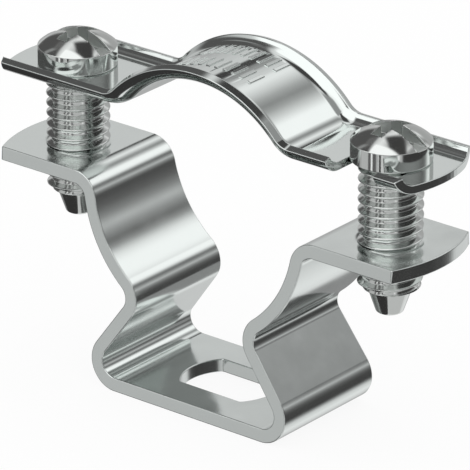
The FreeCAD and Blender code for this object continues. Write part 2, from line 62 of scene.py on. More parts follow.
def linear(hex_colour):
    """The linear RGB of an sRGB hex colour such as #D8DBDA."""
    channels = [int(hex_colour[start:start + 2], 16) / 255 for start in (1, 3, 5)]
    return tuple(c / 12.92 if c <= 0.04045 else ((c + 0.055) / 1.055) ** 2.4 for c in channels)


def length(name, description, millimetres):
    """A length property, whose default is written in millimetres."""
    return bpy.props.FloatProperty(name=name, description=description, default=millimetres * MM,
                                   min=0, precision=5, unit="LENGTH")


def turn(name, description, degrees):
    """An angle property, whose default is written in degrees."""
    return bpy.props.FloatProperty(name=name, description=description,
                                   default=math.radians(degrees), unit="ROTATION")


def colour(name, description, hex_colour):
    """A colour property, whose default is written as an sRGB hex colour."""
    return bpy.props.FloatVectorProperty(name=name, description=description, size=3, min=0, max=1,
                                         default=linear(hex_colour), subtype="COLOR")


class ConduitStrapBracketSizes(bpy.types.PropertyGroup):
    """Sizes of the folded bracket."""

    gauge: length("Sheet", "Thickness of the sheet", 1.35)
    foot_half: length("Foot", "Flat of the fixing face, from the middle to the bend", 8.75)
    foot_bend: length("Foot bend", "Inside radius of the foot bend", 1.45)
    leg_angle: turn("Leg", "How far the foot bend turns the sheet", 126)
    neck_bend: length("Neck bend", "Inside radius of the neck bend", 1.40)
    seat_radius: length("Seat", "Radius of the saddle and of the strap's arch", 11.65)
    shoulder_bend: length("Shoulder bend", "Inside radius between saddle and flange", 1.28)
    foot_width: length("Foot width", "Width at the fixing face", 13.30)
    flange_width: length("Flange width", "Width at the flanges", 11.50)
    flange_end: length("Flange end", "Flange corner beyond the screw axis", 4.55)
    end_arc: length("End arc", "Radius of the flange's rounded end", 13.5)
    slot_length: length("Slot length", "Fixing slot over its round ends", 9.5)
    slot_width: length("Slot width", "Fixing slot between its flats", 6.3)
    hole_radius: length("Threaded hole", "Radius of the hole inside its own thread", 2.45)
    hole_mouth: length("Countersink", "Width of the countersink outside the screw", 0.32)
    hole_depth: length("Countersink depth", "Depth of the threaded hole's countersink", 0.38)


class ConduitStrapStrapSizes(bpy.types.PropertyGroup):
    """Sizes of the pressed strap."""

    gauge: length("Sheet", "Thickness of the sheet", 0.82)
    rise: length("Rise", "Underside of the ends above the conduit's centre", 6.97)
    foot_bend: length("Foot bend", "Inside radius where the arch meets the ends", 2.68)
    width: length("Width", "Width over the rims", 11.26)
    rim_bend: length("Rim bend", "Inside radius of the turned-up rim", 1.30)
    rim_angle: turn("Rim", "How far the rim is turned up", 71)
    end: length("End", "Strap corner beyond the screw axis", 4.60)
    end_arc: length("End arc", "Radius of the strap's rounded end", 12)
    hole_radius: length("Screw hole", "Radius of the round hole and of the hook slot's eye", 3.15)
    hook_mouth: length("Hook mouth", "Width of the hook slot at its lip", 5.30)
    hook_lip: length("Hook lip", "Depth of the lip at the hook slot's mouth", 1.20)
    bars: bpy.props.IntProperty(name="Bars", description="Raised bars in each row on the crown",
                                default=10, min=1)
    bar_width: length("Bar width", "Width of a raised bar", 0.42)
    bar_length: length("Bar length", "Length of a raised bar", 2.10)
    bar_height: length("Bar height", "Height of a raised bar", 0.13)
    bar_step: turn("Bar step", "From one raised bar to the next, round the conduit", 4.4)
    bars_middle: turn("Bars' middle", "Middle of the rows, from the crown's top", -3)
    row_gap: length("Row gap", "Between the two rows of bars", 1.60)
    rows_middle: length("Rows' middle", "Middle between the rows, from the strap's middle", 0.90)


class ConduitStrapScrewSizes(bpy.types.PropertyGroup):
    """Sizes of the clamping screws."""

    offset: length("Screw axis", "Screw axis from the middle", 18.40)
    pitch: length("Pitch", "Rise of the thread in one turn", 1.0)
    crest: length("Crest radius", "Outside radius of the thread", 3.0)
    root: length("Root radius", "Radius at the bottom of the thread", 2.47)
    thread: length("Thread", "Length from the head's seat to the point", 12.70)
    runout: length("Run-out", "Height of the taper where the thread ends", 0.60)
    point: length("Point", "Length of the tapered point", 2.20)
    point_root: length("Point root", "Radius of the point where the thread ends", 2.0)
    point_end: length("Point end", "Radius of the point at its end", 1.325)
    point_edge: length("Point edge", "Rounding round the point's end", 0.30)
    head: length("Head radius", "Radius of the head", 3.75)
    head_rim: length("Head side", "Height of the head's upright side", 1.84)
    head_dome: length("Dome", "Height of the domed top above the side", 1.45)
    head_edge: length("Head edge", "Chamfer round the head's lower edge", 0.10)
    slot: length("Driving slot", "Width of the driving slot", 1.38)
    cross_wing: length("Cross wing", "Width of the cross recess's wings", 1.26)
    cross_span: length("Cross span", "Cross recess from wing tip to wing tip", 4.20)
    cross_depth: length("Cross depth", "Depth of the cross recess below the dome's top", 2.00)
    drive_angle: turn("Driving slot turn", "From the strap's length to the driving slot", -4)


class ConduitStrapFinish(bpy.types.PropertyGroup):
    """Colours and edge rounding of the zinc-plated steel."""

    sheet_zinc: colour("Sheet zinc", "Bright zinc plating on the sheet steel", "#E3E8E6")
    screw_zinc: colour("Screw zinc", "Bright zinc plating on the screws", "#DFE2E0")
    bracket_edge: length("Bracket edge", "Rounding of the bracket's cut edges", 0.12)
    strap_edge: length("Strap edge", "Rounding of the strap's cut edges", 0.09)
    screw_edge: length("Screw edge", "Rounding of the head's edges", 0.06)


SCENE_GROUPS = {
    "strap_bracket": ConduitStrapBracketSizes,
    "strap_strap": ConduitStrapStrapSizes,
    "strap_screws": ConduitStrapScrewSizes,
    "strap_finish": ConduitStrapFinish,
}


# Meshes

def new_piece(mesh, name):
    """An object at the origin from a bmesh, which is used up."""
    bmesh.ops.recalc_face_normals(mesh, faces=mesh.faces)
    data = bpy.data.meshes.new(name)
    mesh.to_mesh(data)
    mesh.free()
    piece = bpy.data.objects.new(name, data)
    bpy.context.scene.collection.objects.link(piece)
    return piece


def apply_modifiers(piece):
    """Make what the modifiers show the piece's own mesh."""
    bpy.context.view_layer.update()
    graph = bpy.context.evaluated_depsgraph_get()
    old = piece.data
    piece.data = bpy.data.meshes.new_from_object(piece.evaluated_get(graph), depsgraph=graph,
                                                 preserve_all_data_layers=True)
    piece.modifiers.clear()
    bpy.data.meshes.remove(old)


def put_in_order(piece):
    """Sort the mesh along a line that slants to every face. A cut leaves its parts in another
    order on each run, and the rounded edges would come out a little different with it."""
    mesh = bmesh.new()
    mesh.from_mesh(piece.data)
    line = Vector((1, 0.7310585, 0.3936972))
    mesh.verts.sort(key=lambda vert: vert.co.dot(line))
    mesh.edges.sort(key=lambda edge: (edge.verts[0].co + edge.verts[1].co).dot(line))
    mesh.faces.sort(key=lambda face: face.calc_center_bounds().dot(line))
    mesh.to_mesh(piece.data)
    mesh.free()


def combine(piece, tool, operation):
    """Cut the piece with a tool, keep what both hold or join them. The tool is used up."""
    modifier = piece.modifiers.new("combine", "BOOLEAN")
    modifier.object = tool
    modifier.operation = operation
    modifier.solver = "EXACT"
    apply_modifiers(piece)
    data = tool.data
    bpy.data.objects.remove(tool)
    bpy.data.meshes.remove(data)
    if not piece.data.polygons:
        raise RuntimeError(piece.name + " vanished")
    put_in_order(piece)


def finish_edges(piece, rounding, smooth_below=35, segments=2):
    """Close the slivers that cuts leave, round the sharp edges and set the normals."""
    mesh = bmesh.new()
    mesh.from_mesh(piece.data)
    bmesh.ops.remove_doubles(mesh, verts=mesh.verts, dist=MERGE_AFTER_CUTS)
    bmesh.ops.dissolve_degenerate(mesh, edges=mesh.edges, dist=MERGE_AFTER_CUTS)
    bmesh.ops.recalc_face_normals(mesh, faces=mesh.faces)
    mesh.to_mesh(piece.data)
    mesh.free()
    bevel = piece.modifiers.new("edges", "BEVEL")
    bevel.width = rounding
    bevel.segments = segments
    bevel.limit_method = "ANGLE"
    bevel.angle_limit = math.radians(smooth_below)
    bevel.use_clamp_overlap = False
    bevel.loop_slide = False
    bevel.miter_outer = "MITER_ARC"
    apply_modifiers(piece)
    set_normals(piece)


def set_normals(piece, smooth_below=50, lead_of_large_faces=80):
    """Smooth the shading over all but sharp edges, led by the larger faces. The modifier takes
    faces under a square millimetre for nothing, so the piece is enlarged for it."""
    piece.data.shade_smooth()
    piece.data.set_sharp_from_angle(angle=math.radians(smooth_below))
    piece.data.transform(Matrix.Scale(1 / MM, 4))
    weighted = piece.modifiers.new("normals", "WEIGHTED_NORMAL")
    weighted.keep_sharp = True
    weighted.weight = lead_of_large_faces
    apply_modifiers(piece)
    piece.data.transform(Matrix.Scale(MM, 4))


def verts_of(edges):
    """The edges' vertices, each once. They are in the edges' order, as a set's order differs
    from run to run and so would the cuts made later."""
    return list(dict.fromkeys(vert for edge in edges for vert in edge.verts))


def push(mesh, front, step):
    """Carry a swept section's open edges on by a step, and return the new open edges."""
    made = bmesh.ops.extrude_edge_only(mesh, edges=front)["geom"]
    verts = [item for item in made if isinstance(item, bmesh.types.BMVert)]
    bmesh.ops.translate(mesh, verts=verts, vec=step)
    return [item for item in made if isinstance(item, bmesh.types.BMEdge) and item.is_boundary]


def bend(mesh, front, centre, angle, axis=(0, 1, 0), finest=math.radians(2.5)):
    """Carry a swept section's open edges round a bend, and return the new open edges."""
    steps = max(2, math.ceil(abs(angle) / finest))
    made = bmesh.ops.spin(mesh, geom=verts_of(front) + front, cent=centre, axis=axis,
                          angle=angle, steps=steps, use_duplicate=False)
    return [item for item in made["geom_last"] if isinstance(item, bmesh.types.BMEdge)]


def lathe(points, steps=96):
    """A closed round body from (radius, height) points, the first and last on the axis."""
    mesh = bmesh.new()
    verts = [mesh.verts.new((radius, 0, height)) for radius, height in points]
    edges = [mesh.edges.new(pair) for pair in zip(verts, verts[1:])]
    bmesh.ops.spin(mesh, geom=verts + edges, cent=(0, 0, 0), axis=UP, angle=2 * math.pi,
                   steps=steps, use_merge=True, use_duplicate=False)
    bmesh.ops.remove_doubles(mesh, verts=mesh.verts, dist=MERGE)
    return mesh


def hull_of(mesh):
    """Replace a bmesh with its convex hull."""
    bmesh.ops.delete(mesh, geom=mesh.edges[:], context="EDGES_FACES")
    bmesh.ops.convex_hull(mesh, input=mesh.verts)
    loose = [vert for vert in mesh.verts if not vert.link_faces]
    bmesh.ops.delete(mesh, geom=loose, context="VERTS")


def add_drum(mesh, radius, low, high, centre, steps=192):
    """Add an upright drum to a bmesh."""
    place = Matrix.Translation((centre[0], centre[1], (low + high) / 2))
    bmesh.ops.create_cone(mesh, cap_ends=True, segments=steps, radius1=radius, radius2=radius,
                          depth=high - low, matrix=place)


def add_block(mesh, low, high):
    """Add a block between two corners to a bmesh, and return its vertices."""
    low, high = Vector(low), Vector(high)
    place = Matrix.Translation((low + high) / 2) @ Matrix.Diagonal((*(high - low), 1))
    return bmesh.ops.create_cube(mesh, size=1, matrix=place)["verts"]


def trim_ends(piece, corner, half_width, end_arc, low, high):
    """Round a strip's ends to arcs that pass through its corners."""
    mesh = bmesh.new()
    centre = corner - math.sqrt(end_arc ** 2 - half_width ** 2)
    for side in (-1, 1):
        add_drum(mesh, end_arc, low, high, (side * centre, 0), steps=256)
    hull_of(mesh)
    combine(piece, new_piece(mesh, "end_trim"), "INTERSECT")


# Bracket

def make_bracket(sizes, screws, finish):
    """The strip folded into foot, legs, neck, saddle and flanges, with its slot and holes."""
    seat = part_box("base_bracket")[1].z
    gauge = sizes.gauge
    foot = Vector((sizes.foot_half, 0, gauge + sizes.foot_bend))
    leg = Vector((math.cos(sizes.leg_angle), 0, math.sin(sizes.leg_angle)))
    outward = Vector((math.sin(sizes.leg_angle), 0, -math.cos(sizes.leg_angle)))
    seat_centre = Vector((0, 0, seat))

    # The neck bend touches the leg and the saddle's circle, so its centre follows from both.
    neck_radius = sizes.neck_bend + gauge
    track = foot + outward * (sizes.foot_bend + neck_radius) - seat_centre
    along = track.dot(leg)
    run = -along - math.sqrt(along ** 2 - track.length_squared
                             + (sizes.seat_radius + neck_radius) ** 2)
    neck = track + leg * run
    neck_angle = math.atan2(neck.z, neck.x)

    # The shoulder bend touches the saddle's circle and the flange's top.
    shoulder_radius = sizes.shoulder_bend + gauge
    shoulder_x = math.sqrt((sizes.seat_radius + shoulder_radius) ** 2 - shoulder_radius ** 2)
    shoulder_angle = math.atan2(-shoulder_radius, shoulder_x)

    mesh = bmesh.new()
    half = sizes.foot_width / 2
    add_block(mesh, (0, -half, 0), (foot.x, half, gauge))
    ends = [face for face in mesh.faces if abs(face.calc_center_median().x - foot.x) < MERGE]
    starts = [face for face in mesh.faces if abs(face.calc_center_median().x) < MERGE]
    front = list(ends[0].edges)
    bmesh.ops.delete(mesh, geom=ends + starts, context="FACES_ONLY")
    front = bend(mesh, front, foot, -sizes.leg_angle)
    front = push(mesh, front, leg * run)
    front = bend(mesh, front, neck + seat_centre, sizes.leg_angle - neck_angle - math.pi / 2)
    front = bend(mesh, front, seat_centre, neck_angle - shoulder_angle, finest=math.radians(1))
    front = bend(mesh, front, Vector((shoulder_x, 0, seat - shoulder_radius)),
                 math.pi / 2 + shoulder_angle)
    corner = screws.offset + sizes.flange_end
    front = push(mesh, front, Vector((corner + half - shoulder_x, 0, 0)))
    bmesh.ops.contextual_create(mesh, geom=front)

    # The strip narrows evenly from the fixing face up to the flanges.
    for vert in mesh.verts:
        share = vert.co.z / seat
        vert.co.y *= 1 - share * (1 - sizes.flange_width / sizes.foot_width)
    bmesh.ops.mirror(mesh, geom=mesh.verts[:] + mesh.edges[:] + mesh.faces[:], axis="X",
                     merge_dist=MERGE)
    bmesh.ops.remove_doubles(mesh, verts=mesh.verts, dist=MERGE)
    bracket = new_piece(mesh, "bracket")

    trim_ends(bracket, corner, sizes.flange_width / 2, sizes.end_arc, -gauge, seat + gauge)

    mesh = bmesh.new()
    add_drum(mesh, sizes.slot_length / 2, -gauge, 2 * gauge, (0, 0), steps=128)
    for side in (-1, 1):
        bmesh.ops.bisect_plane(mesh, geom=mesh.verts[:] + mesh.edges[:] + mesh.faces[:],
                               plane_co=(0, side * sizes.slot_width / 2, 0),
                               plane_no=(0, side, 0), clear_outer=True)
    hull_of(mesh)
    combine(bracket, new_piece(mesh, "slot_punch"), "DIFFERENCE")

    # The threaded holes, open as far as the crests of their own threads, just inside the screws'
    # roots, with a countersunk mouth. The screws' threads run in the wall as meshed threads do.
    bore, mouth = sizes.hole_radius, screws.crest + sizes.hole_mouth
    above = mouth + gauge * (mouth - bore) / sizes.hole_depth
    line = [(0, seat - 2 * gauge), (bore, seat - 2 * gauge), (bore, seat - sizes.hole_depth),
            (above, seat + gauge), (0, seat + gauge)]
    for side in (-1, 1):
        mesh = lathe(line, steps=128)
        bmesh.ops.translate(mesh, verts=mesh.verts, vec=(side * screws.offset, 0, 0))
        combine(bracket, new_piece(mesh, "thread_bore"), "DIFFERENCE")
    finish_edges(bracket, finish.bracket_edge)
    return bracket


# Strap

def bar_rows(sizes):
    """The near and far ends of the bars in each of the crown's two rows."""
    near = sizes.rows_middle - sizes.row_gap / 2
    far = sizes.rows_middle + sizes.row_gap / 2
    return (near - sizes.bar_length, near), (far, far + sizes.bar_length)


def make_strap(sizes, bracket_sizes, screws, finish):
    """The rimmed strip, arched over the conduit, with its screw hole and hook slot."""
    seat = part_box("base_bracket")[1].z
    gauge = sizes.gauge
    radius = bracket_sizes.seat_radius
    foot_radius = sizes.foot_bend + gauge
    run = math.sqrt((radius + foot_radius) ** 2 - (sizes.rise + foot_radius) ** 2)
    slope = math.pi / 2 - math.atan2(sizes.rise + foot_radius, run)
    corner = screws.offset + sizes.end
    level = seat + sizes.rise
    start = -corner - sizes.width / 2

    # Half of the section: the flat, then the rim turned up from it.
    outside = sizes.rim_bend + gauge
    rim_x = sizes.width / 2 - outside * math.sin(sizes.rim_angle)
    mesh = bmesh.new()
    ends = [mesh.verts.new((start, 0, level)), mesh.verts.new((start, 0, level + gauge))]
    front = push(mesh, [mesh.edges.new(ends)], Vector((0, rim_x, 0)))
    front = [edge for edge in front if all(abs(vert.co.y - rim_x) < MERGE for vert in edge.verts)]
    bend(mesh, front, Vector((start, rim_x, level + outside)), sizes.rim_angle, axis=(1, 0, 0),
         finest=math.radians(8))
    bmesh.ops.mirror(mesh, geom=mesh.verts[:] + mesh.edges[:] + mesh.faces[:], axis="Y",
                     merge_dist=MERGE)
    bmesh.ops.remove_doubles(mesh, verts=mesh.verts, dist=MERGE)
    front = [edge for edge in mesh.edges if edge.is_boundary]

    # The section closes the swept strip at both ends.
    copied = bmesh.ops.duplicate(mesh, geom=mesh.faces[:])["geom"]
    copied = [item for item in copied if isinstance(item, bmesh.types.BMVert)]
    bmesh.ops.translate(mesh, verts=copied, vec=(-2 * start, 0, 0))
    front = push(mesh, front, Vector((-start - run, 0, 0)))
    front = bend(mesh, front, Vector((-run, 0, level + foot_radius)), -slope)
    front = bend(mesh, front, Vector((0, 0, seat)), 2 * slope, finest=math.radians(1))
    front = bend(mesh, front, Vector((run, 0, level + foot_radius)), -slope)
    push(mesh, front, Vector((-start - run, 0, 0)))
    bmesh.ops.remove_doubles(mesh, verts=mesh.verts, dist=MERGE_AFTER_CUTS)
    strap = new_piece(mesh, "strap")

    low, high = level - 2 * gauge, level + 4 * gauge
    trim_ends(strap, corner, sizes.width / 2, sizes.end_arc, low, seat + 2 * radius)

    mesh = bmesh.new()
    add_drum(mesh, sizes.hole_radius, low, high, (-screws.offset, 0), steps=128)
    combine(strap, new_piece(mesh, "hole_punch"), "DIFFERENCE")

    # The hook slot: an eye, a channel towards the front and a narrower mouth.
    eye, wide = screws.offset, sizes.hole_radius
    mesh = bmesh.new()
    add_drum(mesh, wide, low, high, (eye, 0), steps=128)
    add_block(mesh, (eye - wide, sizes.hook_lip - sizes.width / 2, low), (eye + wide, 0, high))
    hull_of(mesh)
    combine(strap, new_piece(mesh, "eye_punch"), "DIFFERENCE")
    mesh = bmesh.new()
    add_block(mesh, (eye - wide, -sizes.width, low),
              (eye - wide + sizes.hook_mouth, -sizes.width / 4, high))
    combine(strap, new_piece(mesh, "mouth_punch"), "DIFFERENCE")
    finish_edges(strap, finish.strap_edge)

    # A plain pressed pattern on the crown: two rows of short raised bars.
    crown = seat + radius + gauge
    mesh = bmesh.new()
    for near, far in bar_rows(sizes):
        for number in range(sizes.bars):
            verts = add_block(mesh, (-sizes.bar_width / 2, near, crown - gauge / 2),
                              (sizes.bar_width / 2, far, crown + sizes.bar_height))
            angle = sizes.bars_middle + (number - (sizes.bars - 1) / 2) * sizes.bar_step
            bmesh.ops.rotate(mesh, verts=verts, cent=(0, 0, seat),
                             matrix=Matrix.Rotation(angle, 3, "Y"))
    tops = [edge for edge in mesh.edges
            if all(math.hypot(vert.co.x, vert.co.z - seat) > radius + gauge
                   for vert in edge.verts)]
    bmesh.ops.bevel(mesh, geom=tops, offset=sizes.bar_height / 2, offset_type="OFFSET", segments=2,
                    profile=0.5, affect="EDGES", material=-1)
    combine(strap, new_piece(mesh, "crown_bars"), "UNION")
    set_normals(strap)
    return strap


# Screws

def make_thread(sizes):
    """The threaded rod, longer than the screw at both ends, with its seat at height 0."""
    pitch, crest, root = sizes.pitch, sizes.crest, sizes.root
    # One pitch of the flank line: share of the pitch, and share of the thread's depth.
    flank = [(0.0, 0.0), (0.13, 0.03), (0.18, 0.12), (0.41, 0.86), (0.45, 0.97), (0.5, 1.0),
             (0.55, 0.97), (0.59, 0.86), (0.82, 0.12), (0.87, 0.03), (1.0, 0.0)]
    steps = 72
    # One turn more than the screw needs above its seat, and two more below its thread.
    turns = math.ceil(sizes.thread / pitch) + 3
    bottom = -(turns - 1) * pitch
    mesh = bmesh.new()
    verts = [mesh.verts.new((root + depth * (crest - root), 0, bottom + share * pitch))
             for share, depth in flank]
    edges = [mesh.edges.new(pair) for pair in zip(verts, verts[1:])]
    bmesh.ops.spin(mesh, geom=verts + edges, cent=(0, 0, 0), axis=UP, dvec=(0, 0, pitch / steps),
                   angle=2 * math.pi * turns, steps=steps * turns, use_duplicate=False)
    bmesh.ops.remove_doubles(mesh, verts=mesh.verts, dist=2 * MERGE_AFTER_CUTS)

    # Each open end is closed by a fan of faces about a pole.
    open_edges = [edge for edge in mesh.edges if edge.is_boundary]
    for above in (False, True):
        middle = bottom + turns * pitch / 2
        ring = [edge for edge in open_edges if (edge.verts[0].co.z > middle) == above]
        rim = verts_of(ring)
        height = sum(vert.co.z for vert in rim) / len(rim)
        pole = mesh.verts.new((0, 0, height))
        for edge in ring:
            mesh.faces.new((*edge.verts, pole))
    return new_piece(mesh, "thread")


# How far the rolled thread's finish is on the way from the plating's to a punched wall's.
THREAD_DULLNESS = 0.08


def make_screw(sizes, finish):
    """One screw on the Z axis, with its head's seat at height 0."""
    pitch, tip = sizes.pitch, -(sizes.thread + sizes.point)
    screw = make_thread(sizes)
    envelope = lathe([(0, -sizes.thread), (sizes.point_root, -sizes.thread),
                      (sizes.crest + pitch / 10, sizes.runout - sizes.thread),
                      (sizes.crest + pitch / 10, pitch / 2), (0, pitch / 2)])
    combine(screw, new_piece(envelope, "thread_envelope"), "INTERSECT")

    # The head: a chamfered seat, an upright side and a domed top.
    dome_radius = (sizes.head ** 2 + sizes.head_dome ** 2) / (2 * sizes.head_dome)
    top = sizes.head_rim + sizes.head_dome
    side = [(0, 0), (sizes.head - sizes.head_edge, 0), (sizes.head, sizes.head_edge),
            (sizes.head, sizes.head_rim)]
    dome_steps = 14
    dome_angle = math.asin(sizes.head / dome_radius)
    angles = [dome_angle * (1 - step / dome_steps) for step in range(1, dome_steps + 1)]
    dome = [(dome_radius * math.sin(angle), top - dome_radius * (1 - math.cos(angle)))
            for angle in angles]
    head = new_piece(lathe(side + dome, steps=128), "head")

    turned = Matrix.Rotation(sizes.drive_angle, 4, "Z")
    # The driving slot's floor is a hair below the dome's edge, so that no two faces coincide.
    recesses = ((2 * sizes.head, sizes.slot, sizes.head_rim - sizes.head_edge / 4),
                (sizes.cross_span, sizes.cross_wing, top - sizes.cross_depth),
                (sizes.cross_wing, sizes.cross_span, top - sizes.cross_depth))
    for along, across, floor in recesses:
        mesh = bmesh.new()
        add_block(mesh, (-along / 2, -across / 2, floor), (along / 2, across / 2, 2 * top))
        bmesh.ops.transform(mesh, matrix=turned, verts=mesh.verts)
        combine(head, new_piece(mesh, "recess_punch"), "DIFFERENCE")
    finish_edges(head, finish.screw_edge)

    # The tapered point, rounded at its end.
    rounding = sizes.point_edge
    slope = math.atan2(sizes.point_root - sizes.point_end, sizes.point)
    end_steps = 6
    angles = [(math.pi / 2 - slope) * step / end_steps for step in range(end_steps + 1)]
    end = [(sizes.point_end - rounding * (1 - math.sin(angle)),
            tip + rounding * (1 - math.cos(angle))) for angle in angles]
    taper = [(sizes.point_root, -sizes.thread),
             (sizes.point_root - pitch / 8, -sizes.thread + pitch), (0, -sizes.thread + pitch)]
    point = new_piece(lathe([(0, tip)] + end + taper), "point")

    joined = bmesh.new()
    for part in (screw, head, point):
        joined.from_mesh(part.data)
    whole = new_piece(joined, "screw")
    for part in (screw, head, point):
        bpy.data.objects.remove(part)
    set_normals(whole)

    # Mark the punched recesses fully and the rolled thread in part, as the finish is duller
    # there. The recesses' faces are the ones well inside the head's own outline.
    marks = []
    for face in whole.data.polygons:
        middle = face.center
        reach = math.hypot(middle.x, middle.y)
        surface = top - dome_radius + math.sqrt(dome_radius ** 2 - min(reach, sizes.head) ** 2)
        mark = THREAD_DULLNESS if -sizes.thread < middle.z < 0 else 0.0
        if reach < sizes.head - sizes.head_edge:
            if sizes.head_edge < middle.z < surface - sizes.head_edge:
                mark = 1.0
        marks.append(mark)
    whole.data.attributes.new("dullness", "FLOAT", "FACE").data.foreach_set("value", marks)
    return whole


# Materials

# The width of a cloudy patch of the plating, and of a streak that a punch leaves on a wall. Both
# are drawn coarser than real ones, so that they show.
CLOUD_MM = 3.0
PUNCH_STREAK_MM = 0.3
# The noise that makes the patches lies mostly between these values.
CLOUD_SPAN = {"From Min": 0.3, "From Max": 0.7}
PUNCHED_ROUGHNESS = 0.45


def add_node(tree, kind, settings=None, inputs=None):
    """Add a node, set its own settings, and set or link its inputs."""
    node = tree.nodes.new(kind)
    for name, value in (settings or {}).items():
        setattr(node, name, value)
    for name, value in (inputs or {}).items():
        if isinstance(value, bpy.types.NodeSocket):
            tree.links.new(value, node.inputs[name])
        else:
            node.inputs[name].default_value = value
    return node


def new_tree(name):
    """A new material and its empty node tree."""
    material = bpy.data.materials.new(name)
    material.use_nodes = True
    material.node_tree.nodes.clear()
    return material, material.node_tree


def make_zinc(name, tint, roughness, grain_mm, stretch, dull_where=None):
    """Bright zinc plating on steel: a mirror-like metal whose thin clear passivation leaves
    it faintly cloudy, over the fine marks that rolling or turning left in the steel. The
    attribute that dull_where names makes faces duller, and at 1 adds a punch's upright streaks."""
    material, tree = new_tree(name)
    place = add_node(tree, "ShaderNodeTexCoord").outputs["Object"]
    # The plating's cloudiness: soft patches that are a little duller or darker than others.
    cloud = add_node(tree, "ShaderNodeTexNoise", inputs={
        "Vector": place, "Scale": 1 / (CLOUD_MM * MM), "Detail": 3.0,
        "Roughness": 0.55}).outputs["Fac"]
    dull = add_node(tree, "ShaderNodeMapRange", inputs={
        "Value": cloud, **CLOUD_SPAN,
        "To Min": roughness * 0.8, "To Max": roughness * 1.25}).outputs["Result"]
    shade = add_node(tree, "ShaderNodeMapRange", inputs={
        "Value": cloud, **CLOUD_SPAN, "To Min": 0.975, "To Max": 1.0})
    tinted = add_node(tree, "ShaderNodeVectorMath", {"operation": "SCALE"}, {
        0: tint, "Scale": shade.outputs["Result"]})
    # The steel's own marks, drawn a little coarser than real ones so that they show.
    marks = add_node(tree, "ShaderNodeMapping", {"vector_type": "POINT"}, {
        "Vector": place, "Scale": stretch})
    grain = add_node(tree, "ShaderNodeTexNoise", inputs={
        "Vector": marks.outputs["Vector"], "Scale": 1 / (grain_mm * MM), "Detail": 2.0})
    bump = add_node(tree, "ShaderNodeBump", inputs={
        "Strength": 0.05, "Distance": 0.01 * MM, "Height": grain.outputs["Fac"]})
    if dull_where:
        marked = add_node(tree, "ShaderNodeAttribute",
                          {"attribute_name": dull_where}).outputs["Fac"]
        dull = add_node(tree, "ShaderNodeMapRange", inputs={
            "Value": marked, "To Min": dull, "To Max": PUNCHED_ROUGHNESS}).outputs["Result"]
        punched = add_node(tree, "ShaderNodeMath", {"operation": "GREATER_THAN"}, {
            0: marked, 1: 0.9})
        # The noise is drawn out upwards, so that it makes upright streaks.
        upright = add_node(tree, "ShaderNodeMapping", {"vector_type": "POINT"}, {
            "Vector": place, "Scale": (1, 1, 0.08)})
        streaks = add_node(tree, "ShaderNodeTexNoise", inputs={
            "Vector": upright.outputs["Vector"], "Scale": 1 / (PUNCH_STREAK_MM * MM),
            "Detail": 2.0})
        height = add_node(tree, "ShaderNodeMath", {"operation": "MULTIPLY"}, {
            0: streaks.outputs["Fac"], 1: punched.outputs[0]})
        bump = add_node(tree, "ShaderNodeBump", inputs={
            "Strength": 0.6, "Distance": 0.02 * MM, "Height": height.outputs[0],
            "Normal": bump.outputs["Normal"]})
    metal = add_node(tree, "ShaderNodeBsdfPrincipled", inputs={
        "Base Color": tinted.outputs["Vector"], "Metallic": 1.0, "Roughness": dull,
        "Normal": bump.outputs["Normal"]})
    add_node(tree, "ShaderNodeOutputMaterial", inputs={"Surface": metal.outputs["BSDF"]})
    return material


def make_floor_material():
    """White studio paper. The camera sees it evenly lit, with a trace of the object's shadow."""
    material, tree = new_tree("studio_paper")
    paper = add_node(tree, "ShaderNodeBsdfDiffuse", inputs={"Color": (*linear("#F9F9F9"), 1)})
    white = add_node(tree, "ShaderNodeEmission", inputs={
        "Color": (*linear("#FFFFFF"), 1), "Strength": 1.0})
    seen = add_node(tree, "ShaderNodeLightPath").outputs["Is Camera Ray"]
    evened = add_node(tree, "ShaderNodeMath", {"operation": "MULTIPLY"}, {0: seen, 1: 0.9})
    mixed = add_node(tree, "ShaderNodeMixShader", inputs={
        0: evened.outputs[0], 1: paper.outputs[0], 2: white.outputs[0]})
    add_node(tree, "ShaderNodeOutputMaterial", inputs={"Surface": mixed.outputs[0]})
    return material


# The reflection tent's strips: degrees round the conduit's axis from +X, and their brightness.
TENT_STRIPS = ((-180, 0.46), (-124, 0.46), (-112, 0.55), (-104, 0.72), (-80, 0.92), (-57, 0.74),
               (-51, 0.50), (-47, 0.36), (-41, 0.13), (-35, 0.06), (-14, 0.07), (-2, 0.13),
               (7, 0.28), (15, 0.58), (22, 0.34), (30, 0.155), (36, 0.33), (43, 0.92),
               (50, 1.15), (64, 1.15), (72, 0.75), (79, 0.44), (85, 0.30), (92, 0.45), (99, 0.72),
               (108, 1.0), (121, 0.62), (128, 0.25), (133, 0.05), (137, 0.06), (141.5, 0.72))

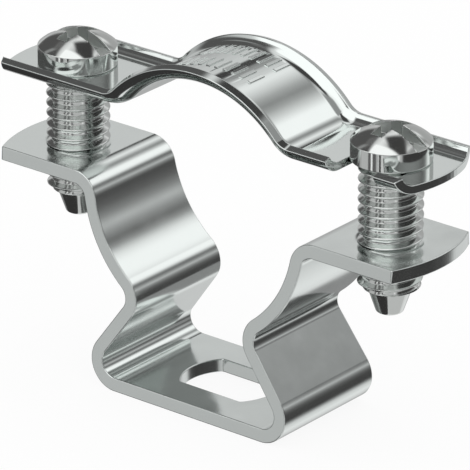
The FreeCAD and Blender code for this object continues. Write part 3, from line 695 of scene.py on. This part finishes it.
# Softboxes and flags in front of the tent, the later ones nearer: the direction of the middle,
# half the width and half the height, all in degrees, then the brightness and how much of the
# half width is soft edge.
STUDIO_CARDS = (
    ("wall_behind_left", 177, 36, 34, 29, 0.10, 0.3),
    ("wall_streak", -172, 42, 5, 18, 0.32, 0.8),
    ("back_left_grey", 175, 54, 9, 8, 0.16, 0.6),
    ("back_left_light", 137, 35, 9, 9, 0.55, 0.9),
    ("left_light_strip", 158, 5, 22, 6, 0.60, 0.6),
    ("right_light_wall", 98, 17, 26, 14, 0.45, 0.5),
    ("low_right_light", 84, -16, 20, 13, 0.70, 0.5),
    ("ceiling", 12, 56, 32, 12, 0.33, 0.5),
    ("dark_ceiling", 50, 80, 30, 16, 0.06, 0.4),
    ("pale_floor", -8, -52, 40, 22, 0.61, 0.15),
    ("edge_light", -48, -16, 28, 20, 0.55, 0.3),
    ("edge_strip", -32, -20, 3, 14, 1.0, 0.5),
    ("right_flag", 12, -8, 30, 27, 0.05, 0.15),
    ("flag_behind_floor", 158, -50, 22, 16, 0.035, 0.3),
    ("floor_flag", -140, -60, 34, 22, 0.04, 0.15),
    ("left_flag", -176, -18, 28, 19, 0.10, 0.3),
    ("front_light", -115, 4, 30, 9, 0.80, 0.4),
    ("front_grey", -100, 19, 40, 7, 0.20, 0.4),
    ("front_panel", -130, -21, 13, 17, 0.55, 0.25),
    ("front_flag", -105, -21, 13, 16, 0.13, 0.2),
    ("front_strip", -106, -21, 3, 15, 1.1, 0.5),
    ("front_thin_strip", -89, -21, 3, 15, 0.45, 0.6),
    ("front_thin_flag", -81, -21, 4, 15, 0.05, 0.5),
    ("wide_softbox", -93, 40, 39, 13, 1.25, 0.2),
    ("high_softbox", -90, 60, 25, 28, 1.25, 0.2),
)


# The last sheet is small and near: a grey one behind and under the foot, which the foot shows by
# way of the left leg. Its middle and half its sides are in millimetres.
LOW_SHEET = {"middle": (3, 18.5, -0.5), "half_sides": (9, 11.5), "level": 0.28, "edge": 0.3}


def paper_grey(level, edge=1.0):
    """The colour of lit paper, a trace warmer where it is dark, with the soft edge's share."""
    warm = 1 + 0.12 * max(0.0, 0.3 - level)
    return (level * warm, level, level, edge)


def make_tent_material():
    """Paper strips of several greys, lit evenly, which run along the conduit's direction."""
    material, tree = new_tree("studio_tent_paper")
    place = add_node(tree, "ShaderNodeTexCoord").outputs["Object"]
    parts = add_node(tree, "ShaderNodeSeparateXYZ", inputs={"Vector": place}).outputs
    angle = add_node(tree, "ShaderNodeMath", {"operation": "ARCTAN2"}, {
        0: parts["Z"], 1: parts["X"]}).outputs[0]
    share = add_node(tree, "ShaderNodeMapRange", inputs={
        "Value": angle, "From Min": -math.pi, "From Max": math.pi}).outputs["Result"]
    ramp = add_node(tree, "ShaderNodeValToRGB", inputs={"Fac": share})
    stops = ramp.color_ramp.elements
    stops.remove(stops[1])
    stops[0].color = paper_grey(TENT_STRIPS[0][1])
    for degrees, level in TENT_STRIPS[1:]:
        stops.new((degrees + 180) / 360).color = paper_grey(level)
    stops.new(1.0).color = paper_grey(TENT_STRIPS[0][1])
    glow = add_node(tree, "ShaderNodeEmission", inputs={
        "Color": ramp.outputs["Color"], "Strength": 1.0})
    add_node(tree, "ShaderNodeOutputMaterial", inputs={"Surface": glow.outputs[0]})
    material.cycles.emission_sampling = "NONE"
    return material


def make_card_material():
    """Paper or cloth, lit evenly, that thins out towards its edges. The object's colour gives
    its brightness, and the alpha of that colour how much of it is edge."""
    material, tree = new_tree("studio_card")
    card = add_node(tree, "ShaderNodeObjectInfo").outputs
    place = add_node(tree, "ShaderNodeTexCoord").outputs["Object"]
    sides = add_node(tree, "ShaderNodeVectorMath", {"operation": "ABSOLUTE"}, {0: place})
    parts = add_node(tree, "ShaderNodeSeparateXYZ",
                     inputs={"Vector": sides.outputs["Vector"]}).outputs
    solid = add_node(tree, "ShaderNodeMath", {"operation": "SUBTRACT"}, {0: 1.0, 1: card["Alpha"]})
    cover = [add_node(tree, "ShaderNodeMapRange", {"interpolation_type": "SMOOTHSTEP"}, {
        "Value": parts[axis], "From Min": solid.outputs[0], "From Max": 1.0,
        "To Min": 1.0, "To Max": 0.0}).outputs["Result"] for axis in "XY"]
    both = add_node(tree, "ShaderNodeMath", {"operation": "MULTIPLY"}, {0: cover[0], 1: cover[1]})
    clear = add_node(tree, "ShaderNodeBsdfTransparent")
    glow = add_node(tree, "ShaderNodeEmission", inputs={"Color": card["Color"], "Strength": 1.0})
    mixed = add_node(tree, "ShaderNodeMixShader", inputs={
        0: both.outputs[0], 1: clear.outputs[0], 2: glow.outputs[0]})
    add_node(tree, "ShaderNodeOutputMaterial", inputs={"Surface": mixed.outputs[0]})
    material.cycles.emission_sampling = "NONE"
    return material


def dress(piece, material, body, node):
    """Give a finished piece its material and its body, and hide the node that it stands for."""
    piece.data.materials.clear()
    piece.data.materials.append(material)
    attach(piece, body)
    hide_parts(node)


# Stage

# The first card's distance, and how much nearer each next one is, in metres.
FIRST_CARD = 1.0
CARD_STEP = 0.03
# A long lens from the front right, above the strap: degrees round from the front and up, the
# height that it is aimed at, its distance in metres, and the frame's share that it is shifted.
CAMERA_AZIMUTH = 38.99
CAMERA_ELEVATION = 23.42
CAMERA_AIM_MM = 16.055
CAMERA_DISTANCE = 0.523
CAMERA_LENS_MM = 435.0
CAMERA_SHIFT = 0.00766


def add_screen(name, mesh, material):
    """A stage piece that is seen only in reflections."""
    screen = new_piece(mesh, "studio_" + name)
    screen.data.materials.append(material)
    screen.visible_camera = False
    screen.visible_diffuse = False
    screen.visible_shadow = False
    return screen


def add_card(name, paper, place, level, edge):
    """A square card of lit paper, two across, that a matrix turns and puts in its place."""
    mesh = bmesh.new()
    bmesh.ops.create_grid(mesh, x_segments=1, y_segments=1, size=1)
    card = add_screen(name, mesh, paper)
    card.matrix_world = place
    card.color = paper_grey(level, edge)


def place_by_direction(turned, raised, width, height, distance):
    """The place of a card that faces the object, from its direction and its half sides."""
    turned, raised = math.radians(turned), math.radians(raised)
    outward = Vector((math.cos(turned) * math.cos(raised), math.sin(turned) * math.cos(raised),
                      math.sin(raised)))
    spread = [distance * math.tan(math.radians(half)) for half in (width, height)]
    return (Matrix.Translation(outward * distance)
            @ (-outward).to_track_quat("Z", "Y").to_matrix().to_4x4()
            @ Matrix.Diagonal((*spread, 1, 1)))


def make_floor():
    """A plain white floor, which the steel doesn't show."""
    mesh = bmesh.new()
    bmesh.ops.create_grid(mesh, x_segments=1, y_segments=1, size=6)
    floor = new_piece(mesh, "studio_floor")
    floor.data.materials.append(make_floor_material())
    floor.visible_glossy = False


def make_reflections():
    """The tent about the conduit's direction, and the cards and softboxes inside it."""
    mesh = bmesh.new()
    bmesh.ops.create_cone(mesh, cap_ends=False, segments=180, radius1=2, radius2=2, depth=24,
                          matrix=Matrix.Rotation(math.pi / 2, 4, "X"))
    add_screen("tent", mesh, make_tent_material())

    paper = make_card_material()
    for number, (name, turned, raised, width, height, level, edge) in enumerate(STUDIO_CARDS):
        distance = FIRST_CARD - CARD_STEP * number
        place = place_by_direction(turned, raised, width, height, distance)
        add_card(name, paper, place, level, edge)
    half_sides = [side * MM for side in LOW_SHEET["half_sides"]]
    place = (Matrix.Translation(Vector(LOW_SHEET["middle"]) * MM)
             @ Matrix.Diagonal((*half_sides, 1, 1)))
    add_card("low_sheet", paper, place, LOW_SHEET["level"], LOW_SHEET["edge"])


def make_light():
    """A plain white room, which lights the object evenly from all sides."""
    world = bpy.data.worlds.new("studio_light")
    world.use_nodes = True
    room = world.node_tree.nodes["Background"].inputs
    room["Color"].default_value = (*linear("#FFFFFF"), 1)
    room["Strength"].default_value = 1.0
    bpy.context.scene.world = world


def make_camera():
    """The camera at the photograph's viewing angle."""
    azimuth, elevation = math.radians(CAMERA_AZIMUTH), math.radians(CAMERA_ELEVATION)
    back = Vector((math.sin(azimuth) * math.cos(elevation),
                   -math.cos(azimuth) * math.cos(elevation), math.sin(elevation)))
    camera = bpy.data.objects.new("studio_camera", bpy.data.cameras.new("studio_camera"))
    camera.data.sensor_width = 36
    camera.data.lens = CAMERA_LENS_MM
    camera.data.shift_x = CAMERA_SHIFT
    camera.data.clip_start = 0.01
    camera.location = Vector((0, 0, CAMERA_AIM_MM * MM)) + back * CAMERA_DISTANCE
    camera.rotation_mode = "QUATERNION"
    camera.rotation_quaternion = (-back).to_track_quat("-Z", "Y")
    bpy.context.scene.collection.objects.link(camera)
    bpy.context.scene.camera = camera


# Operators

class CONDUITSTRAP_OT_bracket(bpy.types.Operator):
    """Build the folded bracket and plate it"""

    bl_idname = "conduitstrap.bracket"
    bl_label = "Bracket"

    def execute(self, context):
        scene = context.scene
        piece = make_bracket(scene.strap_bracket, scene.strap_screws, scene.strap_finish)
        zinc = make_zinc("bright_zinc_on_rolled_steel", scene.strap_finish.sheet_zinc,
                         roughness=0.13, grain_mm=0.12, stretch=(0.15, 1, 0.15))
        dress(piece, zinc, "bracket", "base_bracket")
        return {"FINISHED"}


class CONDUITSTRAP_OT_strap(bpy.types.Operator):
    """Build the pressed strap and plate it"""

    bl_idname = "conduitstrap.strap"
    bl_label = "Strap"

    def execute(self, context):
        scene = context.scene
        piece = make_strap(scene.strap_strap, scene.strap_bracket, scene.strap_screws,
                           scene.strap_finish)
        zinc = make_zinc("bright_zinc_on_pressed_steel", scene.strap_finish.sheet_zinc,
                         roughness=0.08, grain_mm=0.12, stretch=(0.15, 1, 0.15))
        dress(piece, zinc, "strap", "clamp_strap")
        return {"FINISHED"}


class CONDUITSTRAP_OT_screws(bpy.types.Operator):
    """Build the two clamping screws and plate them"""

    bl_idname = "conduitstrap.screws"
    bl_label = "Clamping screws"

    def execute(self, context):
        scene = context.scene
        sizes = scene.strap_screws
        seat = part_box("base_bracket")[1].z + scene.strap_strap.rise + scene.strap_strap.gauge
        zinc = make_zinc("bright_zinc_on_rolled_screw", scene.strap_finish.screw_zinc,
                         roughness=0.09, grain_mm=0.08, stretch=(1, 1, 3), dull_where="dullness")
        pattern = make_screw(sizes, scene.strap_finish)
        for side, name in ((-1, "left_screw"), (1, "right_screw")):
            data = pattern.data.copy()
            data.name = name + "_visual"
            data.transform(Matrix.Translation((side * sizes.offset, 0, seat)))
            piece = bpy.data.objects.new(name + "_visual", data)
            scene.collection.objects.link(piece)
            dress(piece, zinc, name.replace("_screw", "_clamp_screw"), name)
        bpy.data.objects.remove(pattern)
        return {"FINISHED"}


class CONDUITSTRAP_OT_studio(bpy.types.Operator):
    """Set up the floor, the light and the camera"""

    bl_idname = "conduitstrap.studio"
    bl_label = "Studio"

    def execute(self, context):
        make_floor()
        make_reflections()
        make_light()
        make_camera()
        context.scene.view_settings.view_transform = "Standard"
        return {"FINISHED"}


OPERATORS = (CONDUITSTRAP_OT_bracket, CONDUITSTRAP_OT_strap, CONDUITSTRAP_OT_screws,
             CONDUITSTRAP_OT_studio)


class VIEW3D_PT_conduit_strap(bpy.types.Panel):
    """Sizes, finish and the steps that build the strap"""

    bl_label = "Conduit Strap"
    bl_idname = "VIEW3D_PT_conduit_strap"
    bl_space_type = "VIEW_3D"
    bl_region_type = "UI"
    bl_category = "Conduit Strap"

    def draw(self, context):
        for group_name, group in SCENE_GROUPS.items():
            box = self.layout.box()
            for name in group.__annotations__:
                box.prop(getattr(context.scene, group_name), name)
        for operator in OPERATORS:
            self.layout.operator(operator.bl_idname)


CLASSES = (*SCENE_GROUPS.values(), *OPERATORS, VIEW3D_PT_conduit_strap)


def register():
    for item in CLASSES:
        bpy.utils.register_class(item)
    for name, group in SCENE_GROUPS.items():
        setattr(bpy.types.Scene, name, bpy.props.PointerProperty(type=group))


def unregister():
    for name in SCENE_GROUPS:
        delattr(bpy.types.Scene, name)
    for item in reversed(CLASSES):
        bpy.utils.unregister_class(item)


def main():
    register()
    bpy.ops.conduitstrap.bracket()
    bpy.ops.conduitstrap.strap()
    bpy.ops.conduitstrap.screws()
    bpy.ops.conduitstrap.studio()


if __name__ == "__main__":
    main()
